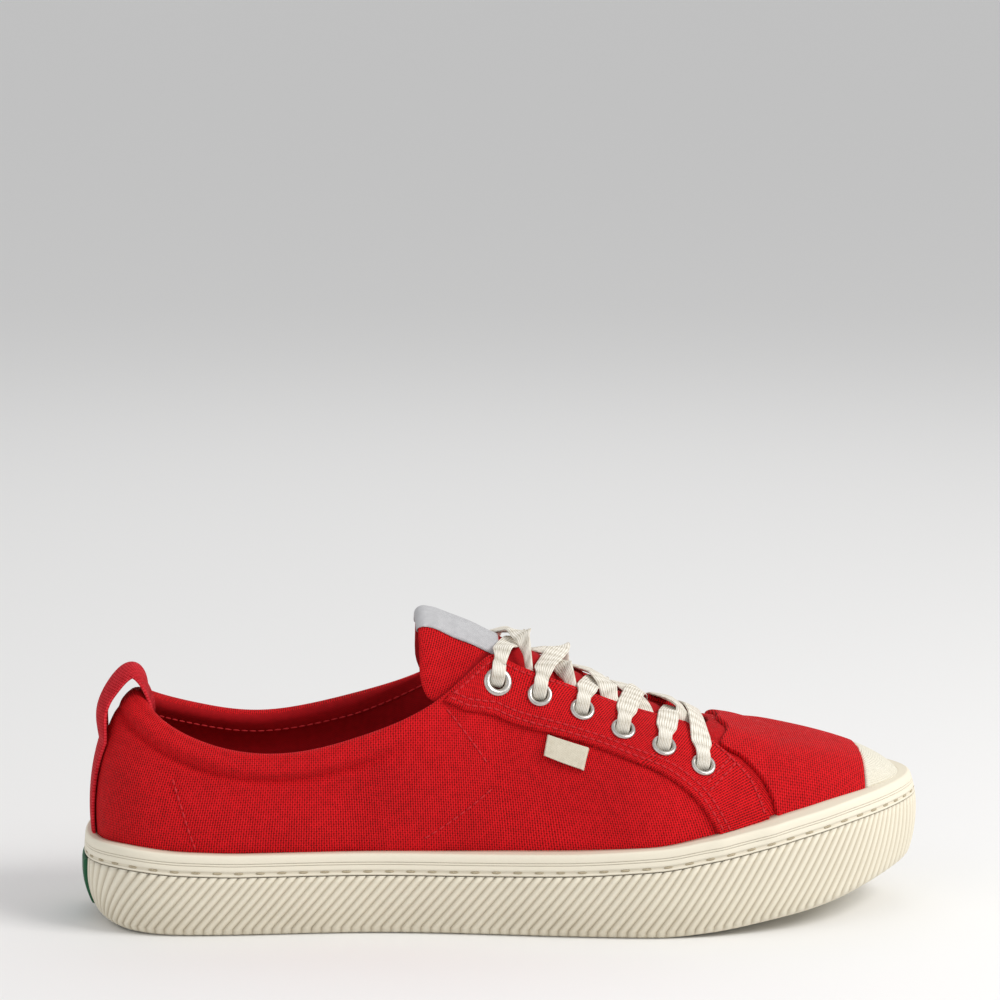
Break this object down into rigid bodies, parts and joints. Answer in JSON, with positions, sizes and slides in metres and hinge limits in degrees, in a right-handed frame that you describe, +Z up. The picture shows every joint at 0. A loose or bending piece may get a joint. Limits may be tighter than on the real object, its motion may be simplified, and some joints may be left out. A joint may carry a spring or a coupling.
{
  "type": "canvas sneaker",
  "caption": "Low canvas sneaker for the right foot with a ribbed rubber cup sole, padded tongue and collar, eyelets, flat laces and a heel pull loop.",
  "frame": {"origin": "centre of the bounding box at the floor, under the waist of the sole", "axes": "+X towards the toe, -Y towards the outer side of the foot, +Z up"},
  "size_m": [0.3002, 0.1038, 0.1104],
  "materials": {
    "ivory_rubber": "matte moulded rubber, slightly soiled in its ribs",
    "green_rubber": "smooth moulded rubber",
    "canvas": "plain weave cotton canvas",
    "lining": "smooth cotton drill",
    "tape": "cotton herringbone tape",
    "satin": "satin ribbon",
    "lace": "flat woven cotton",
    "nickel": "nickel plated"
  },
  "bodies": {
    "root": {"outsole": "ivory_rubber", "foxing_band": "ivory_rubber", "toe_cap": "ivory_rubber", "side_tab": "ivory_rubber", "heel_patch": "green_rubber", "insole": "lining", "upper": "canvas", "vamp": "canvas", "eyestay_lateral": "canvas", "eyestay_medial": "canvas", "tongue": "canvas", "heel_strip": "tape", "tongue_label": "satin", "lace_bar": "lace", "lace_cross_1": "lace", "lace_cross_2": "lace", "lace_cross_3": "lace", "lace_cross_4": "lace", "lace_cross_5": "lace", "eyelet_lateral_1": "nickel", "eyelet_lateral_2": "nickel", "eyelet_lateral_3": "nickel", "eyelet_lateral_4": "nickel", "eyelet_lateral_5": "nickel", "eyelet_lateral_6": "nickel", "eyelet_medial_1": "nickel", "eyelet_medial_2": "nickel", "eyelet_medial_3": "nickel", "eyelet_medial_4": "nickel", "eyelet_medial_5": "nickel", "eyelet_medial_6": "nickel"}
  },
  "joints": []
}
